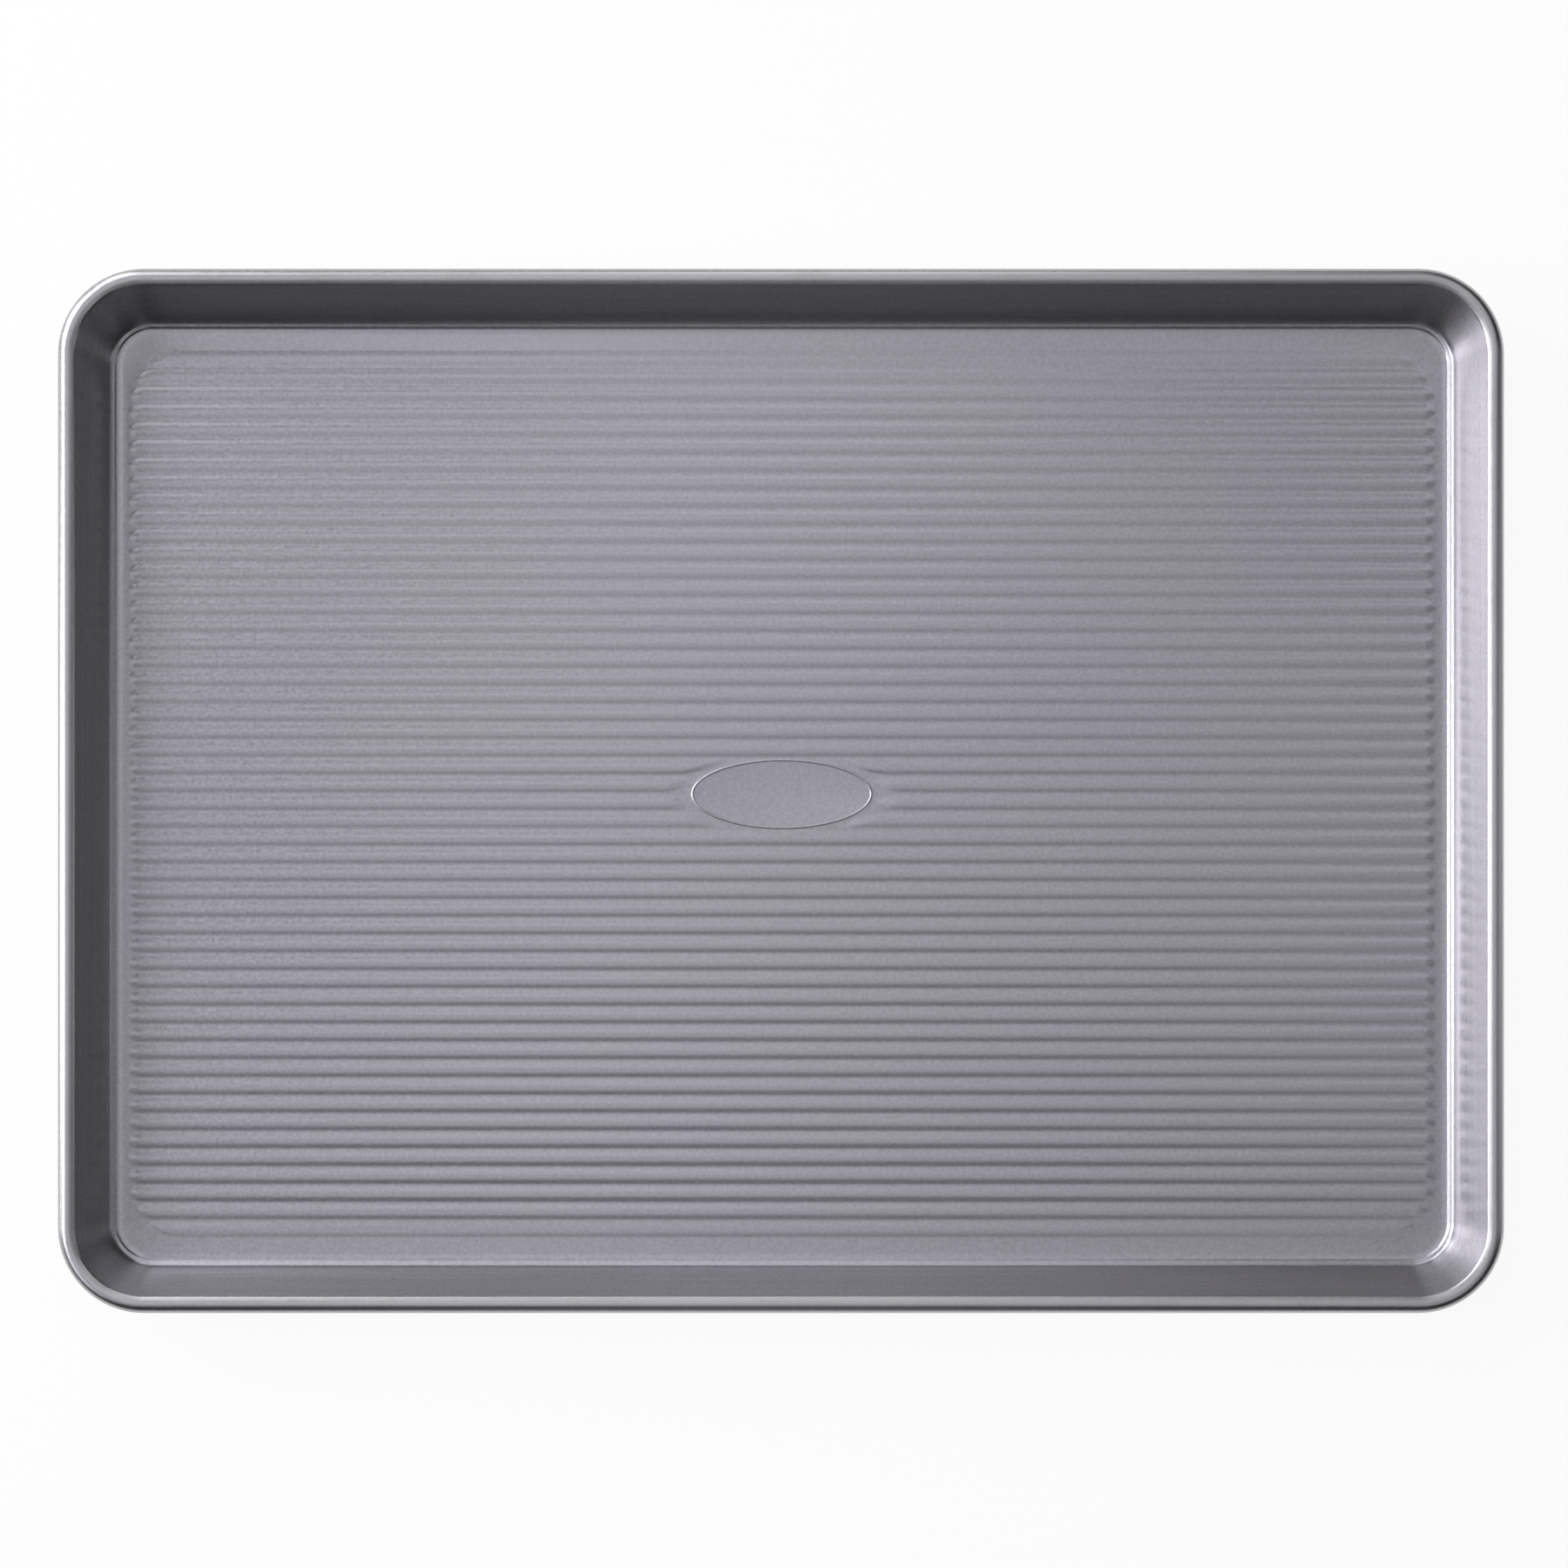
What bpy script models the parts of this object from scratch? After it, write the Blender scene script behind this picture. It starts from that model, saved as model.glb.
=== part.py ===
"""A half-size rimmed cookie sheet: one pressed steel sheet whose rim is rolled round a steel wire.

Metres, with +Z up. The origin is the middle of the plane that the pan rests on, +X runs along
the long sides, and the pan is alike on both sides of each of its middle planes.
"""

import math

import bmesh
import bpy
from mathutils.geometry import delaunay_2d_cdt

# The rim, over its outer edges
RIM_LENGTH = 0.4572
RIM_WIDTH = 0.3302
PAN_HEIGHT = 0.0254

# The sheet, and the wire that its rim is rolled round
SHEET_THICKNESS = 0.0008
WIRE_DIAMETER = 0.0038
WIRE_CLEARANCE = 0.0003
WIRE_END_GAP = 0.0020
CURL_SLOT = 0.0005

# The walls, leaning outwards from upright
WALL_DRAFT = math.radians(19)
WALL_FILLET_RADIUS = 0.0015
FLOOR_CORNER_RADIUS = 0.0120

# The sloping ledge at the foot of the walls, and the step from it down to the floor's dished edge
LEDGE_WIDTH = 0.0012
LEDGE_TILT = math.radians(20)
STEP_WIDTH = 0.0004
STEP_HEIGHT = 0.0004
DISH_RADIUS = 0.0060
DISH_TILT = math.radians(20)

# The pressed ridges, which run along the pan and fade out at their ends
RIDGE_PITCH = 0.00572
RIDGE_HEIGHT = 0.0004
RIDGE_END_LENGTH = 0.0042
CREST_WIDTH = 0.0010
VALLEY_WIDTH = 0.0004
SHOULDER_RUN_SHARE = 0.50
SHOULDER_RISE_SHARE = 0.62

# The floor left from the step to the field of ridges, and the field's rounded corners
END_BORDER = 0.0030
SIDE_BORDER = 0.0064
FIELD_CORNER_RADIUS = 0.0190

# The smooth oval in the middle of the floor
OVAL_LENGTH = 0.0590
OVAL_WIDTH = 0.0240

# How finely the round shapes are faceted
ARC_STEP = math.radians(20)
CORNER_STEPS = 6
RIDGE_END_STEPS = 4
WIRE_BEVEL_RESOLUTION = 4
SHARP_ANGLE = math.radians(35)

# Worked out from the sizes above
BEAD_RADIUS = WIRE_DIAMETER / 2 + WIRE_CLEARANCE + SHEET_THICKNESS
BEAD_HEIGHT = PAN_HEIGHT - BEAD_RADIUS
DISH_RUN = DISH_RADIUS * math.sin(DISH_TILT)
RIDGE_RADIUS = (RIDGE_PITCH - VALLEY_WIDTH) / 2
SLOPE_RUN = RIDGE_RADIUS - CREST_WIDTH / 2


def arc(centre, radius, start, end, fewest=1):
    """Points from one angle to another on a circle, both ends included."""
    steps = max(fewest, math.ceil(abs(end - start) / ARC_STEP - 1e-6))
    angles = [start + (end - start) * step / steps for step in range(steps + 1)]
    return [(centre[0] + radius * math.cos(a), centre[1] + radius * math.sin(a)) for a in angles]


def wall_section():
    """The sheet's upper face across one wall, as (inset from the rim's edge, height) points.

    It starts under the rolled rim, goes over the bead and down the wall, and ends on the floor.
    """
    bead_centre = (BEAD_RADIUS, BEAD_HEIGHT)
    wire_side = BEAD_RADIUS - SHEET_THICKNESS - CURL_SLOT
    curl_end = 2 * math.pi + WALL_DRAFT - math.acos(wire_side / BEAD_RADIUS)
    turns = [curl_end, 1.5 * math.pi, math.pi, 0.5 * math.pi, WALL_DRAFT]
    points = []
    for start, end in zip(turns, turns[1:]):
        points += arc(bead_centre, BEAD_RADIUS, start, end)[:-1]
    wall_top = arc(bead_centre, BEAD_RADIUS, WALL_DRAFT, WALL_DRAFT)[-1]
    points.append(wall_top)

    step_foot = SHEET_THICKNESS + DISH_RADIUS * (1 - math.cos(DISH_TILT))
    ledge_rise = LEDGE_WIDTH * math.tan(LEDGE_TILT)
    ledge_top = step_foot + STEP_HEIGHT + ledge_rise
    fillet_height = ledge_top + WALL_FILLET_RADIUS * math.cos(LEDGE_TILT)
    wall_foot = fillet_height - WALL_FILLET_RADIUS * math.sin(WALL_DRAFT)
    wall_run = (wall_top[1] - wall_foot) * math.tan(WALL_DRAFT)
    fillet_inset = wall_top[0] + wall_run + WALL_FILLET_RADIUS * math.cos(WALL_DRAFT)
    fillet_centre = (fillet_inset, fillet_height)
    fillet_start = math.pi + WALL_DRAFT
    fillet_end = 1.5 * math.pi - LEDGE_TILT
    points += arc(fillet_centre, WALL_FILLET_RADIUS, fillet_start, fillet_end)

    ledge_end = points[-1][0] + LEDGE_WIDTH
    points.append((ledge_end, step_foot + STEP_HEIGHT))
    dish_centre = (ledge_end + STEP_WIDTH + DISH_RUN, SHEET_THICKNESS + DISH_RADIUS)
    points += arc(dish_centre, DISH_RADIUS, 1.5 * math.pi - DISH_TILT, 1.5 * math.pi, fewest=2)
    return points


def ridge_section():
    """The sheet's upper face up a ridge's side, as (run in from its outline, height) points."""
    shoulder = (SLOPE_RUN * SHOULDER_RUN_SHARE, SHEET_THICKNESS + RIDGE_HEIGHT * SHOULDER_RISE_SHARE)
    crest = (SLOPE_RUN, SHEET_THICKNESS + RIDGE_HEIGHT)
    return [(0.0, SHEET_THICKNESS), shoulder, crest]


def offset_below(points, starts_flat):
    """The sheet's lower face: the section moved square to itself by the sheet's thickness.

    Its corners are mitred. Past its last point, and before its first if it starts flat, the
    sheet runs on level.
    """
    ahead = (points[-1][0] + 1.0, points[-1][1])
    behind = (points[0][0] - 1.0, points[0][1])
    line = [behind, *points, ahead] if starts_flat else [*points, ahead]
    normals = []
    for a, b in zip(line, line[1:]):
        length = math.dist(a, b)
        normals.append(((b[1] - a[1]) / length, (a[0] - b[0]) / length))
    if not starts_flat:
        normals.insert(0, normals[0])
    moved = []
    for point, n, m in zip(points, normals, normals[1:]):
        scale = SHEET_THICKNESS / (1 + n[0] * m[0] + n[1] * m[1])
        moved.append((point[0] + (n[0] + m[0]) * scale, point[1] + (n[1] + m[1]) * scale))
    return moved


FLOOR_INSET = wall_section()[-1][0] - DISH_RUN
RIM_CORNER_RADIUS = FLOOR_CORNER_RADIUS + FLOOR_INSET
FIELD_HALF_LENGTH = RIM_LENGTH / 2 - FLOOR_INSET - END_BORDER
FIELD_HALF_WIDTH = RIM_WIDTH / 2 - FLOOR_INSET - SIDE_BORDER


def rim_outline(inset):
    """A rounded rectangle lying inside the rim's edge, anticlockwise from the +X side."""
    radius = RIM_CORNER_RADIUS - inset
    centre_x = RIM_LENGTH / 2 - RIM_CORNER_RADIUS
    centre_y = RIM_WIDTH / 2 - RIM_CORNER_RADIUS
    points = []
    for quarter, (side_x, side_y) in enumerate([(1, 1), (-1, 1), (-1, -1), (1, -1)]):
        for step in range(CORNER_STEPS + 1):
            angle = (quarter + step / CORNER_STEPS) * math.pi / 2
            x = side_x * centre_x + radius * math.cos(angle)
            y = side_y * centre_y + radius * math.sin(angle)
            points.append((x, y))
    return points


def field_reach(y):
    """How far the field of ridges reaches from the middle along X, at one place across the pan."""
    into_corner = max(0.0, abs(y) - (FIELD_HALF_WIDTH - FIELD_CORNER_RADIUS))
    reach = math.sqrt(max(0.0, FIELD_CORNER_RADIUS ** 2 - into_corner ** 2))
    return FIELD_HALF_LENGTH - FIELD_CORNER_RADIUS + reach


def oval_reach(y):
    """How far the smooth oval reaches from the middle along X, at one place across the pan."""
    return OVAL_LENGTH / 2 * math.sqrt(max(0.0, 1 - (2 * y / OVAL_WIDTH) ** 2))


def ridge_outline(ridge, run):
    """A ridge's outline, drawn in by the run: two straight sides and two long round ends.

    The ends follow the edge of the field, and of the oval where the ridge stops at it.
    """
    side, middle_y = ridge
    radius = RIDGE_RADIUS - run
    stretch = RIDGE_END_LENGTH / RIDGE_RADIUS
    points = []
    for facing in (1, -1):
        for step in range(RIDGE_END_STEPS + 1):
            angle = (step / RIDGE_END_STEPS - 0.5) * math.pi
            y = middle_y + facing * radius * math.sin(angle)
            tip = -oval_reach(y) if facing == -side else field_reach(y)
            x = tip - RIDGE_END_LENGTH + stretch * radius * math.cos(angle)
            points.append((facing * x, y))
    return points


def ridge_rows():
    """Each ridge as (side, y): side 0 runs the whole way, sides 1 and -1 stop at the oval."""
    count = math.floor(2 * FIELD_HALF_WIDTH / RIDGE_PITCH)
    ridges = []
    for row in range(count):
        y = (row - (count - 1) / 2) * RIDGE_PITCH
        sides = (-1, 1) if oval_reach(y) > RIDGE_END_LENGTH else (0,)
        ridges += [(side, y) for side in sides]
    return ridges


def add_ring(bm, outline, height):
    """Vertices along an outline at one height."""
    return [bm.verts.new((x, y, height)) for x, y in outline]


def join_rings(bm, first, second):
    """A closed band of four-sided faces between two rings."""
    for i, vert in enumerate(first):
        bm.faces.new((first[i - 1], vert, second[i], second[i - 1]))


def fill_floor(bm, outer, feet):
    """Triangles over the flat floor, inside its outer ring and outside the ridges' feet."""
    verts = []
    loops = []
    for ring in (outer, *feet):
        loops.append(list(range(len(verts), len(verts) + len(ring))))
        verts += ring
    places = [vert.co.to_2d() for vert in verts]
    inside = 1
    filled = delaunay_2d_cdt(places, [], loops, inside, 1e-7)
    triangles, origins, loops_over = filled[2], filled[3], filled[5]
    for triangle, over in zip(triangles, loops_over):
        if len(over) == 1:
            bm.faces.new([verts[origins[corner][0]] for corner in triangle])


def add_skin(bm, wall, ridge_side, ridges):
    """One face of the sheet, from the end of the rolled rim to the ridges. Returns its first ring."""
    rings = [add_ring(bm, rim_outline(inset), height) for inset, height in wall]
    for first, second in zip(rings, rings[1:]):
        join_rings(bm, first, second)
    feet = []
    for ridge in ridges:
        levels = [add_ring(bm, ridge_outline(ridge, run), height) for run, height in ridge_side]
        for first, second in zip(levels, levels[1:]):
            join_rings(bm, first, second)
        bm.faces.new(levels[-1])
        feet.append(levels[0])
    fill_floor(bm, rings[-1], feet)
    return rings[0]


def metal(name, colour, roughness):
    """A bare metal."""
    material = bpy.data.materials.new(name)
    material.use_nodes = True
    shader = material.node_tree.nodes["Principled BSDF"]
    shader.inputs["Base Color"].default_value = (*colour, 1.0)
    shader.inputs["Metallic"].default_value = 1.0
    shader.inputs["Roughness"].default_value = roughness
    return material


def make_pan_sheet():
    """The pressed sheet: ridged floor, step, flared walls and the rim rolled outwards and under."""
    ridges = ridge_rows()
    wall = wall_section()
    side = ridge_section()
    bm = bmesh.new()
    upper = add_skin(bm, wall, side, ridges)
    lower = add_skin(bm, offset_below(wall, False), offset_below(side, True), ridges)
    join_rings(bm, upper, lower)
    bmesh.ops.recalc_face_normals(bm, faces=bm.faces)
    mesh = bpy.data.meshes.new("pan_sheet")
    bm.to_mesh(mesh)
    bm.free()
    mesh.shade_smooth()
    mesh.set_sharp_from_angle(angle=SHARP_ANGLE)
    mesh.materials.append(metal("aluminized_steel", (0.45, 0.44, 0.49), 0.42))
    sheet = bpy.data.objects.new("pan_sheet", mesh)
    bpy.context.scene.collection.objects.link(sheet)
    return sheet


def make_rim_wire():
    """The wire inside the rolled rim, bent round the four corners, its ends nearly meeting."""
    outline = rim_outline(BEAD_RADIUS)
    back = outline[CORNER_STEPS + 1:] + outline[:CORNER_STEPS + 1]
    back_y = RIM_WIDTH / 2 - BEAD_RADIUS
    route = [(-WIRE_END_GAP / 2, back_y), *back, (WIRE_END_GAP / 2, back_y)]
    curve = bpy.data.curves.new("rim_wire", "CURVE")
    curve.dimensions = "3D"
    curve.bevel_depth = WIRE_DIAMETER / 2
    curve.bevel_resolution = WIRE_BEVEL_RESOLUTION
    curve.use_fill_caps = True
    spline = curve.splines.new("POLY")
    spline.points.add(len(route) - 1)
    for point, (x, y) in zip(spline.points, route):
        point.co = (x, y, BEAD_HEIGHT, 1.0)
    curve.materials.append(metal("rim_wire_steel", (0.36, 0.35, 0.34), 0.50))
    wire = bpy.data.objects.new("rim_wire", curve)
    bpy.context.scene.collection.objects.link(wire)
    return wire


def main():
    for item in list(bpy.data.objects):
        bpy.data.objects.remove(item, do_unlink=True)
    make_pan_sheet()
    make_rim_wire()


main()
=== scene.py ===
import math

import bmesh
import bpy
from mathutils import Matrix, Vector
from mathutils.geometry import delaunay_2d_cdt


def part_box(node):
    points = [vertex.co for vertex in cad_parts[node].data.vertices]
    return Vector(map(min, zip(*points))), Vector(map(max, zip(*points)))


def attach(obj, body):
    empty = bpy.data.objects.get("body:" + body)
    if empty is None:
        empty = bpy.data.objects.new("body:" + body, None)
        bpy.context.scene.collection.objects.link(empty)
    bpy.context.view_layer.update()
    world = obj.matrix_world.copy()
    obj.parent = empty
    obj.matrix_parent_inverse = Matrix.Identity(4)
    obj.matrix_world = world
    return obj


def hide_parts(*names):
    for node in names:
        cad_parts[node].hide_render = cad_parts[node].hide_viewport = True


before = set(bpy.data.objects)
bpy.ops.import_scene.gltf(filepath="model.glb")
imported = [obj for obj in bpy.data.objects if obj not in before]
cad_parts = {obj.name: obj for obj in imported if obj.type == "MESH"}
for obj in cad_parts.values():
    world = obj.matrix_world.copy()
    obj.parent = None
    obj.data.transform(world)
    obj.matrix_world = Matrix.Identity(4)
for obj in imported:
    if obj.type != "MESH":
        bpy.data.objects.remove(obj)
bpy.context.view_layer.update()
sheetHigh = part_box("pan_sheet")[1]
wireLow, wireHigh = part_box("rim_wire")

# the pressed sheet, in metres; its outer sizes and its bead come from the frame
sheet = {
    "halfLength": sheetHigh.x,
    "halfWidth": sheetHigh.y,
    "height": sheetHigh.z,
    "beadRadius": (wireHigh.z - wireLow.z) / 2 + sheetHigh.z - wireHigh.z,
    "thickness": 0.0008,
    "curlSlot": 0.0005,  # the curl's free edge stops this short of the wall's back
    "wallDraft": math.radians(19),
    "floorShift": 0.00045,  # how much longer and narrower the floor is than even walls would make it
    "floorCornerRadius": 0.0120,
    "cornerSteps": 26,
    "bendStep": math.radians(6),
    "weldDistance": 1e-6,  # vertices closer than this count as one
}

# down the section: the radius of each bend, the slope below level after it, and the straight run there
rimShoulder = (
    (sheet["beadRadius"], math.radians(25), 0.0008),
    (0.0013, math.pi / 2 - sheet["wallDraft"], 0),
)
wallFoot = (
    (0.0015, math.radians(22), 0.00074),  # the fillet and the ledge
    (0.0009, math.radians(50), 0.00026),  # the step
    (0.0004, math.radians(20), 0),
    (0.0060, 0, 0),  # the floor's dished edge
)

# the pressed ridges, which run along the pan and fade out at their ends
ridges = {
    "pitch": 0.00572,
    "height": 0.00039,
    "valleyWidth": 0.0002,
    "crestWidth": 0.0003,
    "footEase": 0.8,  # below 1 the valleys are tighter than the crests
    "endLength": 0.0042,
    "ovalEndLength": 0.0085,
    "endBorder": 0.0030,
    "sideBorder": 0.0064,
    "fieldCornerRadius": 0.0190,
    "edgeRowHeights": (0.0002, 0.00032),  # the outermost rows are pressed less deep
    "endSegments": 32,
    "slopeLevels": 10,
}

# the smooth oval land in the middle, left bare inside its low pressed edge
oval = {
    "ridgeStopLength": 0.0606,
    "ridgeStopWidth": 0.0248,
    "length": 0.0586,
    "width": 0.0229,
    "edgeWidth": 0.0011,
    "edgeHeight": 0.00016,
    "edgeLevels": 5,
    "segments": 96,
}


# the tip of the section runs straight ahead; heading is the angle below level, going inwards
def runStraight(bm, tip, heading, length):
    grown = bmesh.ops.extrude_vert_indiv(bm, verts=[tip])["verts"][0]
    ahead = Vector((-math.cos(heading), 0, -math.sin(heading))) * length
    bmesh.ops.translate(bm, verts=[grown], vec=ahead)
    return grown


# the tip goes round a bend; a positive turn dips further down, a negative one levels out
def runBend(bm, tip, heading, radius, turn):
    side = 1 if turn > 0 else -1
    toCentre = Vector((math.sin(heading), 0, -math.cos(heading))) * radius * side
    steps = max(2, math.ceil(abs(turn) / sheet["bendStep"]))
    spun = bmesh.ops.spin(bm, geom=[tip], cent=tip.co + toCentre, axis=(0, -side, 0),
                          angle=abs(turn), steps=steps)
    newTip = next(item for item in spun["geom_last"] if isinstance(item, bmesh.types.BMVert))
    return newTip, heading + turn


# the tip goes through a row of bends; gives also where the last of them began
def runDown(bm, tip, heading, bends):
    for radius, slope, run in bends:
        bendStart = tip.co.x
        tip, heading = runBend(bm, tip, heading, radius, slope - heading)
        if run:
            tip = runStraight(bm, tip, heading, run)
    return tip, heading, bendStart


# the sheet's upper face across the +X wall, from under the rolled rim to the floor
def drawSection(bm):
    s = sheet
    wireSide = s["beadRadius"] - s["thickness"] - s["curlSlot"]
    curlTurn = 1.5 * math.pi + s["wallDraft"] - math.acos(wireSide / s["beadRadius"])
    beadCentre = Vector((s["halfLength"] - s["beadRadius"], 0, s["height"] - s["beadRadius"]))
    start = beadCentre + Vector((math.sin(curlTurn), 0, math.cos(curlTurn))) * s["beadRadius"]
    tip = bm.verts.new(start)

    # the straight wall drops by what the bends above and below it leave of the height
    wallDrop = s["height"] - s["thickness"]
    slopeAbove = 0
    for radius, slope, run in rimShoulder + wallFoot:
        wallDrop -= radius * abs(math.cos(slope) - math.cos(slopeAbove)) + run * math.sin(slope)
        slopeAbove = slope

    tip, heading = runBend(bm, tip, -curlTurn, s["beadRadius"], curlTurn)
    tip, heading, bendStart = runDown(bm, tip, heading, rimShoulder)
    tip = runStraight(bm, tip, heading, wallDrop / math.cos(s["wallDraft"]))
    tip, heading, stepFoot = runDown(bm, tip, heading, wallFoot)
    return s["halfLength"] - stepFoot


# the end walls stand a little steeper than the long walls, so the floor is longer and narrower
def leanWalls(bm):
    s = sheet
    top = s["height"] - s["beadRadius"]
    for vert in bm.verts:
        depth = min(1, max(0, (top - vert.co.z) / (top - s["thickness"])))
        inside = s["halfLength"] - abs(vert.co.x) > s["beadRadius"] and \
            s["halfWidth"] - abs(vert.co.y) > s["beadRadius"]
        if inside and depth:
            vert.co.x += math.copysign(s["floorShift"] * depth, vert.co.x)
            vert.co.y -= math.copysign(s["floorShift"] * depth, vert.co.y)


# half the +X wall, a corner and half the +Y wall, mirrored twice into the whole rim; gives the
# middle that the corner turns about
def sweepWalls(bm, floorInset):
    s = sheet
    weld = s["weldDistance"]
    cornerRadius = s["floorCornerRadius"] + floorInset
    straightX = s["halfLength"] - cornerRadius
    straightY = s["halfWidth"] - cornerRadius
    section = bm.edges[:]

    def extrudeEdges(edges, vec):
        grown = bmesh.ops.extrude_edge_only(bm, edges=edges)["geom"]
        bmesh.ops.translate(bm, verts=[v for v in grown if isinstance(v, bmesh.types.BMVert)], vec=vec)
        newFaces = [f for f in grown if isinstance(f, bmesh.types.BMFace)]
        return [e for e in grown if isinstance(e, bmesh.types.BMEdge) and
                sum(f in newFaces for f in e.link_faces) == 1 and e not in edges]

    def leadingEdges(grown, axis, place):
        return [e for e in grown if all(abs(v.co[axis] - place) < weld for v in e.verts)]

    grown = extrudeEdges(section, (0, straightY, 0))
    cornerStart = leadingEdges(grown, 1, straightY)
    spun = bmesh.ops.spin(bm, geom=cornerStart, cent=(straightX, straightY, 0), axis=(0, 0, 1),
                          angle=math.pi / 2, steps=s["cornerSteps"])["geom_last"]
    cornerEnd = [e for e in spun if isinstance(e, bmesh.types.BMEdge)]
    extrudeEdges(cornerEnd, (-straightX, 0, 0))
    for axis in ("X", "Y"):
        everything = bm.verts[:] + bm.edges[:] + bm.faces[:]
        bmesh.ops.mirror(bm, geom=everything, merge_dist=weld, axis=axis)
    bmesh.ops.remove_doubles(bm, verts=bm.verts[:], dist=weld)
    bmesh.ops.recalc_face_normals(bm, faces=bm.faces[:])
    return straightX, straightY, 0


# how far the field of ridges reaches along X, at one place across the pan
def fieldReach(y, halfField):
    radius = ridges["fieldCornerRadius"]
    intoCorner = max(0, abs(y) - (halfField.y - radius))
    return halfField.x - radius + math.sqrt(max(0, radius ** 2 - intoCorner ** 2))


# how far the ridges stay away from the middle there, to leave the oval free
def ovalReach(y):
    return oval["ridgeStopLength"] / 2 * math.sqrt(max(0, 1 - (2 * y / oval["ridgeStopWidth"]) ** 2))


# each ridge as (side, y, height); side 0 runs the whole way, sides 1 and -1 stop at the oval
def ridgeRows(halfField):
    count = math.floor(2 * halfField.y / ridges["pitch"])
    heights = (*ridges["edgeRowHeights"], ridges["height"])
    rows = []
    for row in range(count):
        y = (row - (count - 1) / 2) * ridges["pitch"]
        fromEdge = min(row, count - 1 - row)
        height = heights[min(fromEdge, len(heights) - 1)]
        sides = (-1, 1) if ovalReach(y) > ridges["endLength"] else (0,)
        rows += [(side, y, height) for side in sides]
    return rows


# a round face on the floor, facing up
def addDisc(bm, radius, segments, y):
    place = Matrix.Translation((0, y, sheet["thickness"])) @ Matrix.Rotation(math.pi / segments, 4, "Z")
    ring = bmesh.ops.create_circle(bm, cap_ends=True, segments=segments, radius=radius, matrix=place)["verts"]
    disc = ring[0].link_faces[0]
    if disc.normal.z < 0:
        disc.normal_flip()
    return disc


# a face goes up or down in narrow insets; gives every vertex that it has passed
def riseInwards(bm, face, inset, heights):
    passed = set(face.verts)
    for below, above in zip(heights, heights[1:]):
        slopes = bmesh.ops.inset_individual(bm, faces=[face], thickness=inset, depth=above - below,
                                            use_even_offset=True)["faces"]
        for slope in slopes:
            slope.smooth = True
            passed.update(slope.verts)
    return passed


# triangles over the level floor, inside its outer ring and outside every other ring
def fillFloor(bm, rings):
    verts = [vert for ring in rings for vert in ring]
    loops = []
    for ring in rings:
        first = sum(len(loop) for loop in loops)
        loops.append(list(range(first, first + len(ring))))
    insideLoops = 1
    nearness = 1e-7
    filled = delaunay_2d_cdt([vert.co.to_2d() for vert in verts], [], loops, insideLoops, nearness)
    triangles, sources, loopsAroundEach = filled[2], filled[3], filled[5]
    for triangle, loopsAround in zip(triangles, loopsAroundEach):
        if len(loopsAround) == 1:
            bm.faces.new([verts[sources[corner][0]] for corner in triangle])


# one ridge: a round dome, whose two halves are drawn out to the field's edge or to the oval
def addRidge(bm, side, middleY, height, halfField):
    r = ridges
    radius = (r["pitch"] - r["valleyWidth"]) / 2
    levels = r["slopeLevels"]
    heights = [height * (1 - math.cos(math.pi * (i / levels) ** r["footEase"])) / 2
               for i in range(levels + 1)]
    crest = addDisc(bm, radius, r["endSegments"], middleY)
    foot = list(crest.verts)
    dome = riseInwards(bm, crest, (radius - r["crestWidth"] / 2) / levels, heights)
    for vert in dome:
        facing = math.copysign(1, vert.co.x)
        tip, endLength = fieldReach(vert.co.y, halfField), r["endLength"]
        if facing == -side:
            tip, endLength = -ovalReach(vert.co.y), r["ovalEndLength"]
        vert.co.x = facing * (tip - endLength) + vert.co.x * endLength / radius
    return foot


# the bare oval land: its edge is a low rounded line pressed up from the floor
def addOvalEdge(bm):
    o = oval
    land = addDisc(bm, o["width"] / 2, o["segments"], 0)
    foot = list(land.verts)
    bmesh.ops.scale(bm, verts=land.verts[:], vec=(o["length"] / o["width"], 1, 1))
    levels = 2 * o["edgeLevels"]
    heights = [o["edgeHeight"] * (1 - math.cos(2 * math.pi * i / levels)) / 2 for i in range(levels + 1)]
    riseInwards(bm, land, o["edgeWidth"] / levels, heights)
    return foot


# the whole sheet: its rim and walls, then the ridges and the oval, then the level floor between them
def makePanSheet():
    s = sheet
    bm = bmesh.new()
    floorInset = drawSection(bm)
    cornerMiddle = sweepWalls(bm, floorInset)
    leanWalls(bm)
    rings = [[v for v in bm.verts if v.is_boundary and abs(v.co.z - s["thickness"]) < s["weldDistance"]]]
    rings[0].sort(key=lambda v: math.atan2(v.co.y, v.co.x))
    halfField = Vector((s["halfLength"] - ridges["endBorder"], s["halfWidth"] - ridges["sideBorder"]))
    halfField -= Vector((floorInset, floorInset))
    for side, y, height in ridgeRows(halfField):
        rings.append(addRidge(bm, side, y, height, halfField))
    rings.append(addOvalEdge(bm))
    fillFloor(bm, rings)
    for face in bm.faces:
        face.smooth = True
    bmesh.ops.recalc_face_normals(bm, faces=bm.faces[:])
    if max(bm.faces, key=lambda f: f.calc_area()).normal.z < 0:
        bmesh.ops.reverse_faces(bm, faces=bm.faces[:])

    mesh = bpy.data.meshes.new("panSheet")
    bm.to_mesh(mesh)
    bm.free()
    pan = bpy.data.objects.new("panSheet", mesh)
    bpy.context.scene.collection.objects.link(pan)
    gauge = pan.modifiers.new("gauge", "SOLIDIFY")
    gauge.thickness = s["thickness"]
    gauge.offset = -1
    gauge.use_even_offset = True
    print("pan sheet:", len(mesh.polygons), "faces on its upper side")
    return pan, cornerMiddle


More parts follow.
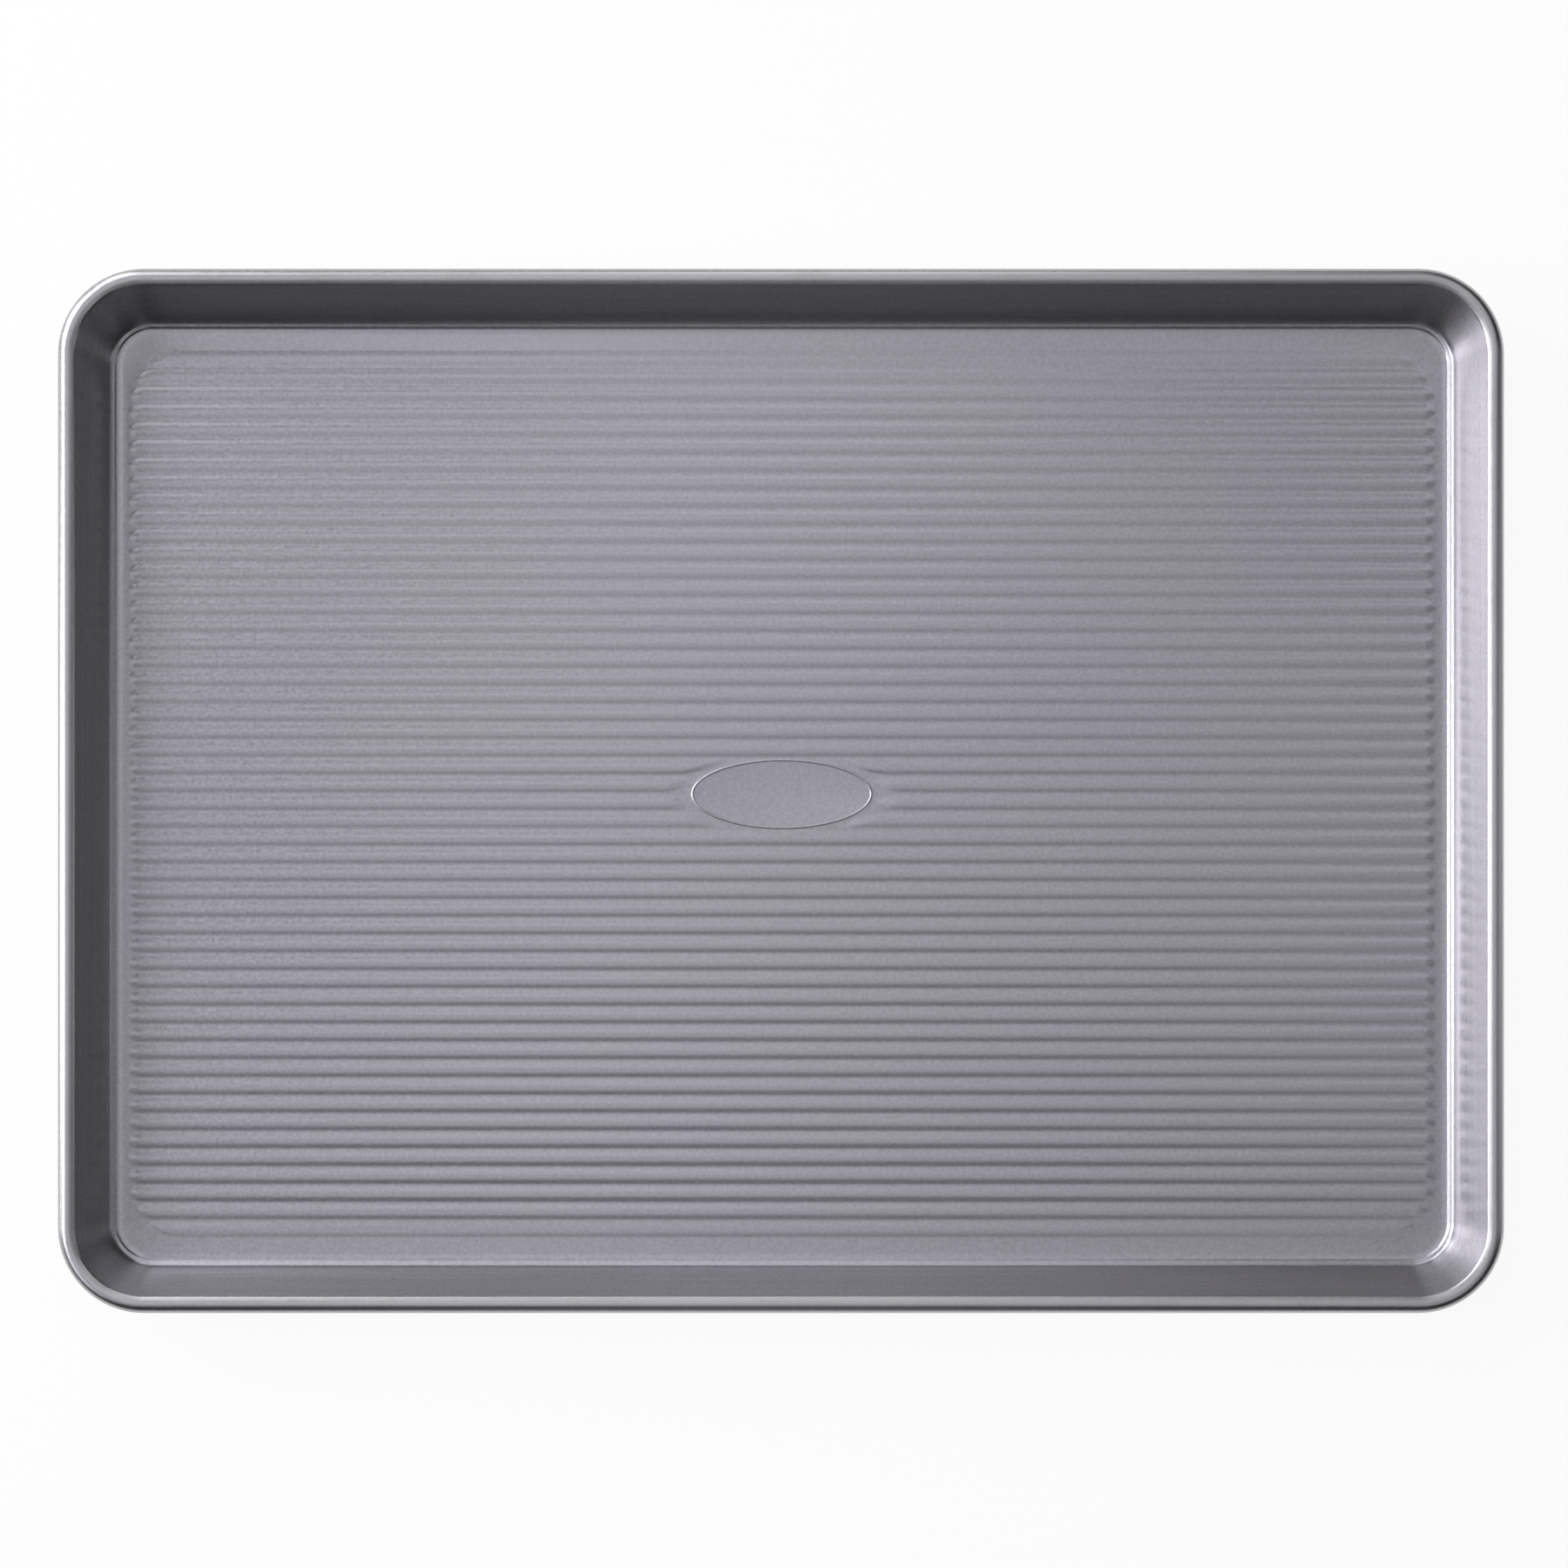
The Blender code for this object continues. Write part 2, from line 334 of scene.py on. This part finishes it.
# a node with its settings, and with its inputs as values or as other nodes' outputs
def addNode(tree, kind, inputs, **settings):
    node = tree.nodes.new(kind)
    for name, value in settings.items():
        setattr(node, name, value)
    for name, value in inputs.items():
        if isinstance(value, bpy.types.NodeSocket):
            tree.links.new(value, node.inputs[name])
        else:
            node.inputs[name].default_value = value
    return node


def addMath(tree, operation, first, second=0.0):
    return addNode(tree, "ShaderNodeMath", {0: first, 1: second}, operation=operation).outputs[0]


def addVectorMath(tree, operation, first, second=(0, 0, 0)):
    return addNode(tree, "ShaderNodeVectorMath", {0: first, 1: second}, operation=operation).outputs[0]


def addScaled(tree, vector, factor):
    return addNode(tree, "ShaderNodeVectorMath", {0: vector, "Scale": factor}, operation="SCALE").outputs[0]


def addRange(tree, value, fromLow, fromHigh, toLow, toHigh):
    inputs = {"Value": value, "From Min": fromLow, "From Max": fromHigh, "To Min": toLow, "To Max": toHigh}
    return addNode(tree, "ShaderNodeMapRange", inputs, interpolation_type="SMOOTHSTEP").outputs["Result"]


def addNoise(tree, vector, scale, detail):
    inputs = {"Vector": vector, "Scale": scale, "Detail": detail}
    return addNode(tree, "ShaderNodeTexNoise", inputs).outputs[0]


def addMix(tree, factor, first, second):
    return addNode(tree, "ShaderNodeMix", {0: factor, 6: first, 7: second}, data_type="RGBA").outputs[2]


# an empty node group, with the sockets of its input and output nodes
def newGroup(name, inputs, outputs):
    group = bpy.data.node_groups.new(name, "ShaderNodeTree")
    for label, kind in inputs:
        group.interface.new_socket(label, in_out="INPUT", socket_type=kind)
    for label, kind in outputs:
        group.interface.new_socket(label, in_out="OUTPUT", socket_type=kind)
    return group, group.nodes.new("NodeGroupInput").outputs, group.nodes.new("NodeGroupOutput").inputs


# what both metals' noises have in common
noises = {
    "grainDetail": 1.5,
    "patchDetail": 1.0,
    "patchEdges": (0.35, 0.65),
    "streakDetail": 2.0,
    "usualReach": (0.2, 0.8),  # nearly all of a noise lies between these
    "cornerBlend": 0.005,  # over this much of a corner its own marks fade in
}


# where a point lies across the rim, on whatever side of the pan, and how far round a corner it is
def buildRimPlace():
    group, given, made = newGroup("rimPlace", [("Vector", "NodeSocketVector"),
                                               ("Corner Middle", "NodeSocketVector")],
                                  [("Across", "NodeSocketVector"), ("Corner", "NodeSocketFloat")])
    folded = addVectorMath(group, "ABSOLUTE", given["Vector"])
    past = addVectorMath(group, "SUBTRACT", folded, given["Corner Middle"])
    past = addVectorMath(group, "MAXIMUM", past)
    sides = addNode(group, "ShaderNodeSeparateXYZ", {0: past}).outputs
    level = addNode(group, "ShaderNodeCombineXYZ", {0: sides["X"], 1: sides["Y"]}).outputs[0]
    reach = addNode(group, "ShaderNodeVectorMath", {0: level}, operation="LENGTH").outputs["Value"]
    height = addNode(group, "ShaderNodeSeparateXYZ", {0: given["Vector"]}).outputs["Z"]
    across = addNode(group, "ShaderNodeCombineXYZ", {0: reach, 1: height}).outputs[0]
    roundCorner = addMath(group, "MINIMUM", sides["X"], sides["Y"])
    corner = addRange(group, roundCorner, 0.0, noises["cornerBlend"], 0.0, 1.0)
    group.links.new(across, made["Across"])
    group.links.new(corner, made["Corner"])
    return group


# the fine grain of a metal, and the wide soft patches in its tone
def buildGrain():
    group, given, made = newGroup("grain", [("Vector", "NodeSocketVector"),
                                            ("Grains Per Metre", "NodeSocketFloat"),
                                            ("Patches Per Metre", "NodeSocketFloat")],
                                  [("Grain", "NodeSocketFloat"), ("Patches", "NodeSocketFloat")])
    grain = addNoise(group, given["Vector"], given["Grains Per Metre"], noises["grainDetail"])
    patches = addNoise(group, given["Vector"], given["Patches Per Metre"], noises["patchDetail"])
    group.links.new(grain, made["Grain"])
    group.links.new(addRange(group, patches, *noises["patchEdges"], 0.0, 1.0), made["Patches"])
    return group


# the streaks that drawing leaves: narrow across the rim, long along it
def buildStreaks():
    group, given, made = newGroup("streaks", [("Vector", "NodeSocketVector"), ("Across", "NodeSocketVector"),
                                              ("Streaks Per Metre", "NodeSocketFloat"),
                                              ("Breaks Per Metre", "NodeSocketFloat")],
                                  [("Streaks", "NodeSocketFloat")])
    narrow = addScaled(group, given["Across"], given["Streaks Per Metre"])
    slow = addScaled(group, given["Vector"], given["Breaks Per Metre"])
    streaks = addNoise(group, addVectorMath(group, "ADD", narrow, slow), 1.0, noises["streakDetail"])
    group.links.new(streaks, made["Streaks"])
    return group


# the nodes that both metals start with: their grain, patches and streaks at the look's own scales
def startMetal(name, look, cornerMiddle, groups):
    material = bpy.data.materials.new(name)
    material.use_nodes = True
    tree = material.node_tree
    place = tree.nodes.new("ShaderNodeTexCoord").outputs["Object"]
    rim = addNode(tree, "ShaderNodeGroup", {}, node_tree=groups["rimPlace"])
    tree.links.new(place, rim.inputs["Vector"])
    rim.inputs["Corner Middle"].default_value = cornerMiddle
    grain = addNode(tree, "ShaderNodeGroup", {}, node_tree=groups["grain"])
    tree.links.new(place, grain.inputs["Vector"])
    grain.inputs["Grains Per Metre"].default_value = look["grainsPerMetre"]
    grain.inputs["Patches Per Metre"].default_value = look["patchesPerMetre"]
    streaks = addNode(tree, "ShaderNodeGroup", {}, node_tree=groups["streaks"])
    tree.links.new(place, streaks.inputs["Vector"])
    tree.links.new(rim.outputs["Across"], streaks.inputs["Across"])
    streaks.inputs["Streaks Per Metre"].default_value = look["streaksPerMetre"]
    streaks.inputs["Breaks Per Metre"].default_value = look["breaksPerMetre"]
    tree.nodes["Principled BSDF"].inputs["Metallic"].default_value = 1
    marks = {
        "place": place,
        "corner": rim.outputs["Corner"],
        "grain": grain.outputs["Grain"],
        "patches": grain.outputs["Patches"],
        "streaks": streaks.outputs["Streaks"],
    }
    return material, marks


# a noise turned into a number around a middle value
def addAround(tree, noise, middle, spread):
    return addRange(tree, noise, *noises["usualReach"], middle - spread, middle + spread)


# the shader's normal, bent by a relief in metres
def bendNormal(tree, shader, relief):
    bump = addNode(tree, "ShaderNodeBump", {"Strength": 1.0, "Distance": 1.0, "Height": relief})
    tree.links.new(bump.outputs["Normal"], shader.inputs["Normal"])


# satin coated steel: two close greys in wide patches and a more neutral one up the walls, a fine
# grain, streaks along the walls, faint blotches where the corners were drawn, and a paler band
# along the top of the rim that is painted highlight with some wear
satin = {
    "colour": (0.447, 0.440, 0.500, 1),
    "neutralColour": (0.445, 0.440, 0.491, 1),
    "wallColour": (0.452, 0.441, 0.448, 1),
    # the paler colour of the rim's top: painted highlight, with some wear
    "highlightAndWearColour": (0.530, 0.522, 0.575, 1),
    "roughness": 0.32,
    "grainsPerMetre": 900.0,
    "patchesPerMetre": 9.0,
    "grainShade": 0.09,
    "grainRoughness": 0.03,
    "grainHeight": 0.000004,
    "floorTop": 0.0015,  # up from this height the streaks and blotches fade in
    "streaksFull": 0.0040,  # and from this height they are full
    "streaksPerMetre": 700.0,
    "breaksPerMetre": 12.0,
    "streakShade": 0.06,
    "streakHeight": 0.000003,
    "blotchesPerMetre": 260.0,
    "blotchDetail": 1.0,
    "blotchHeight": 0.00004,
    # the paler band along the rim's top, painted highlight with some wear: its depth, patch noise, edges,
    # weakest share and amount
    "highlightAndWearDepth": 0.0012,
    "highlightAndWearPerMetre": 50.0,
    "highlightAndWearDetail": 1.0,
    "highlightAndWearEdges": (0.2, 0.6),
    "highlightAndWearWeakest": 0.5,
    "highlightAndWearAmount": 0.8,
}


def makeSatinMaterial(cornerMiddle, groups):
    s = satin
    material, marks = startMetal("satinCoatedSteel", s, cornerMiddle, groups)
    place, grain, streaks = marks["place"], marks["grain"], marks["streaks"]
    tree = material.node_tree
    shader = tree.nodes["Principled BSDF"]
    height = addNode(tree, "ShaderNodeSeparateXYZ", {0: place}).outputs["Z"]
    offFloor = addRange(tree, height, s["floorTop"], s["streaksFull"], 0.0, 1.0)
    # painted highlight with some wear: the top of the rim is made paler, in soft patches
    highlightAndWearOnRimTop = addRange(tree, height, sheet["height"] - s["highlightAndWearDepth"], sheet["height"], 0.0, s["highlightAndWearAmount"])
    highlightAndWearNoise = addNoise(tree, place, s["highlightAndWearPerMetre"], s["highlightAndWearDetail"])
    highlightAndWear = addMath(tree, "MULTIPLY", highlightAndWearOnRimTop, addRange(tree, highlightAndWearNoise, *s["highlightAndWearEdges"], s["highlightAndWearWeakest"], 1.0))

    # the colour
    tone = addMix(tree, marks["patches"], s["colour"], s["neutralColour"])
    tone = addMix(tree, offFloor, tone, s["wallColour"])
    streakShade = addMath(tree, "MULTIPLY", addAround(tree, streaks, 0.0, s["streakShade"]), offFloor)
    shade = addMath(tree, "ADD", addAround(tree, grain, 1.0, s["grainShade"]), streakShade)
    highlightedAndWorn = addMix(tree, highlightAndWear, addScaled(tree, tone, shade), s["highlightAndWearColour"])
    tree.links.new(highlightedAndWorn, shader.inputs["Base Color"])

    # the gloss
    tree.links.new(addAround(tree, grain, s["roughness"], s["grainRoughness"]), shader.inputs["Roughness"])

    # the relief: blotches in the corners and streaks above the floor, and grain all over
    blotches = addNoise(tree, place, s["blotchesPerMetre"], s["blotchDetail"])
    relief = addMath(tree, "MULTIPLY", blotches, s["blotchHeight"])
    relief = addMath(tree, "MULTIPLY", relief, marks["corner"])
    relief = addMath(tree, "ADD", relief, addMath(tree, "MULTIPLY", streaks, s["streakHeight"]))
    relief = addMath(tree, "MULTIPLY", relief, offFloor)
    relief = addMath(tree, "ADD", relief, addMath(tree, "MULTIPLY", grain, s["grainHeight"]))
    bendNormal(tree, shader, relief)
    print("satin coated steel material made")
    return material


# drawn steel wire, uncoated: darker, with dull patches and die lines along it
wireFinish = {
    "colour": (0.36, 0.35, 0.34, 1),
    "dullColour": (0.26, 0.24, 0.22, 1),
    "roughness": 0.5,
    "grainsPerMetre": 1500.0,
    "patchesPerMetre": 60.0,
    "streaksPerMetre": 3500.0,
    "breaksPerMetre": 20.0,
    "streakShade": 0.25,
    "streakHeight": 0.00001,
    "grainRoughness": 0.10,
}


def makeWireMaterial(cornerMiddle, groups):
    w = wireFinish
    material, marks = startMetal("drawnWire", w, cornerMiddle, groups)
    tree = material.node_tree
    shader = tree.nodes["Principled BSDF"]
    tone = addMix(tree, marks["patches"], w["colour"], w["dullColour"])
    shaded = addScaled(tree, tone, addAround(tree, marks["streaks"], 1.0, w["streakShade"]))
    tree.links.new(shaded, shader.inputs["Base Color"])
    gloss = addAround(tree, marks["grain"], w["roughness"], w["grainRoughness"])
    tree.links.new(gloss, shader.inputs["Roughness"])
    bendNormal(tree, shader, addMath(tree, "MULTIPLY", marks["streaks"], w["streakHeight"]))
    print("drawn wire material made")
    return material


# the view: straight down, from a little to the right and in front of the middle; places are in
# metres, the lens and its sensor in millimetres
view = {
    "aboveRim": 1.2685,
    "toRight": 0.0172,
    "inFront": 0.0571,
    "lens": 92.31,
    "sensorWidth": 36,
    "shift": (-0.0328, 0.1196),
}


def makeCamera():
    data = bpy.data.cameras.new("camera")
    data.lens = view["lens"]
    data.sensor_width = view["sensorWidth"]
    data.shift_x, data.shift_y = view["shift"]
    camera = bpy.data.objects.new("camera", data)
    bpy.context.scene.collection.objects.link(camera)
    camera.location = (view["toRight"], -view["inFront"], sheet["height"] + view["aboveRim"])
    bpy.context.scene.camera = camera


# round soft boxes all round the pan, in rings: degrees off straight up, radius, and the brightness
# of each lamp by its degrees round from +X
lamps = {
    "distance": 1.6,
    "rings": (
        (0, 0.24, {0: 0.74}),
        (17, 0.24, {0: 0.60, 60: 0.65, 120: 1.21, 180: 0.51, 240: 0.92, 300: 0.60}),
        (34, 0.27, {0: 0.27, 45: 1.04, 90: 1.07, 180: 1.30, 225: 0.41, 270: 0.32, 315: 0.75}),
        (51, 0.30, {0: 0.35, 60: 0.33, 90: 0.80, 120: 1.96, 150: 5.50, 180: 8.70, 210: 1.60}),
        (68, 0.30, {0: 0.74, 90: 1.73, 120: 3.77, 150: 9.97, 270: 0.30}),
        (80, 0.20, {120: 2.15, 180: 7.50}),
    ),
}


# one soft box; with a brightness of 1 its face would be seen as plain white
def makeLamp(offZenith, azimuth, radius, brightness):
    name = f"lamp{offZenith}at{azimuth}"
    data = bpy.data.lights.new(name, "AREA")
    data.shape = "DISK"
    data.size = 2 * radius
    data.energy = brightness * math.pi * math.pi * radius ** 2
    lamp = bpy.data.objects.new(name, data)
    bpy.context.scene.collection.objects.link(lamp)
    tilt = math.radians(offZenith)
    turn = math.radians(azimuth)
    away = Vector((math.sin(tilt) * math.cos(turn), math.sin(tilt) * math.sin(turn), math.cos(tilt)))
    lamp.location = away * lamps["distance"]
    lamp.rotation_euler = (-away).to_track_quat("-Z", "Y").to_euler()
    lamp.visible_camera = False


# the pale floor, and the faint light of the room around it
studio = {
    "worldColour": (0.01, 0.01, 0.01, 1),
    "floorSize": 40,
    "floorColour": (0.82, 0.82, 0.82, 1),
    "floorGlow": 0.93,  # how much of the floor that is seen is plain white
}


def makeWorld():
    world = bpy.data.worlds.new("studio")
    bpy.context.scene.world = world
    world.use_nodes = True
    world.node_tree.nodes["Background"].inputs["Color"].default_value = studio["worldColour"]


# a pale floor that looks almost white to the camera, and in the metal, but keeps the pan's shadow
def makeFloor():
    bpy.ops.mesh.primitive_plane_add(size=studio["floorSize"], location=(0, 0, 0))
    floor = bpy.context.object
    floor.name = "studioFloor"
    material = bpy.data.materials.new("paleFloor")
    material.use_nodes = True
    tree = material.node_tree
    shader = tree.nodes["Principled BSDF"]
    shader.inputs["Base Color"].default_value = studio["floorColour"]
    shader.inputs["Roughness"].default_value = 1
    shader.inputs["Specular IOR Level"].default_value = 0
    rays = tree.nodes.new("ShaderNodeLightPath").outputs
    seen = addMath(tree, "MAXIMUM", rays["Is Camera Ray"], rays["Is Glossy Ray"])
    seen = addMath(tree, "MAXIMUM", seen, rays["Is Transmission Ray"])
    glow = addNode(tree, "ShaderNodeEmission", {"Color": (1, 1, 1, 1), "Strength": 1.0})
    share = addMath(tree, "MULTIPLY", seen, studio["floorGlow"])
    mix = addNode(tree, "ShaderNodeMixShader", {0: share, 1: shader.outputs[0], 2: glow.outputs[0]})
    tree.links.new(mix.outputs[0], tree.nodes["Material Output"].inputs["Surface"])
    floor.data.materials.append(material)


makeCamera()
pan, cornerMiddle = makePanSheet()
groups = {"rimPlace": buildRimPlace(), "grain": buildGrain(), "streaks": buildStreaks()}
pan.data.materials.append(makeSatinMaterial(cornerMiddle, groups))
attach(pan, "root")
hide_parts("pan_sheet")
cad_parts["rim_wire"].material_slots[0].material = makeWireMaterial(cornerMiddle, groups)
for offZenith, radius, ring in lamps["rings"]:
    for azimuth, brightness in ring.items():
        makeLamp(offZenith, azimuth, radius, brightness)
makeWorld()
makeFloor()
bpy.context.scene.view_settings.view_transform = "Standard"
print("studio made")
